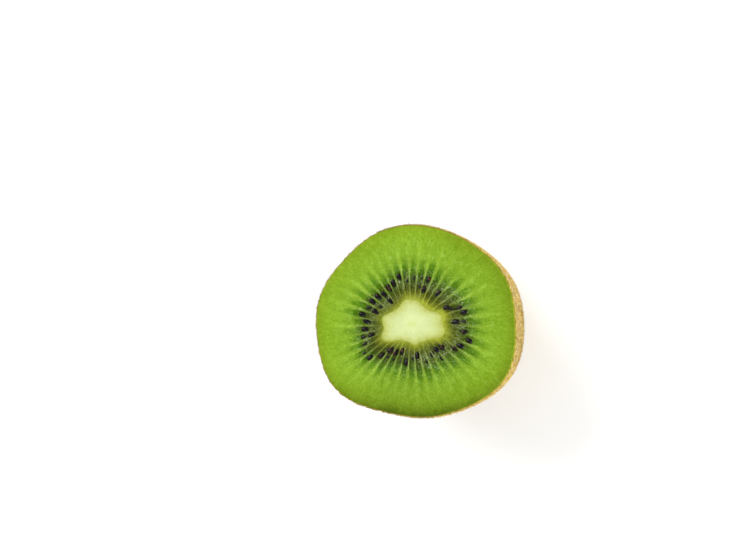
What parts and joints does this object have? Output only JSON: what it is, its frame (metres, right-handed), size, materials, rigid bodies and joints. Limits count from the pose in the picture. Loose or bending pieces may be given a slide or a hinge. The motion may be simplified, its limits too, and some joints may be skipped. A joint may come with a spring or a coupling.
{
  "type": "kiwi fruit half",
  "caption": "Half of a kiwi fruit cut across the middle, lying cut face up: green flesh with seed chambers, dark seeds and brown hairy skin round a pale lobed core.",
  "frame": {"origin": "middle of the small flat spot under the rounded end, on the surface the half rests on", "axes": "+Z from the rounded end up to the cut face, square to it; +X along the long way across the cut face; +Y along the short way, towards the pointed lobe of the core"},
  "size_m": [0.0547, 0.0508, 0.0333],
  "materials": {
    "flesh": "moist green fruit flesh, slightly translucent",
    "core": "moist pale yellow-green, slightly translucent",
    "skin": "thin dull brown skin with short stiff hairs",
    "seed": "smooth, nearly black, wet"
  },
  "bodies": {
    "root": {"flesh": "flesh", "core": "core"}
  },
  "joints": []
}
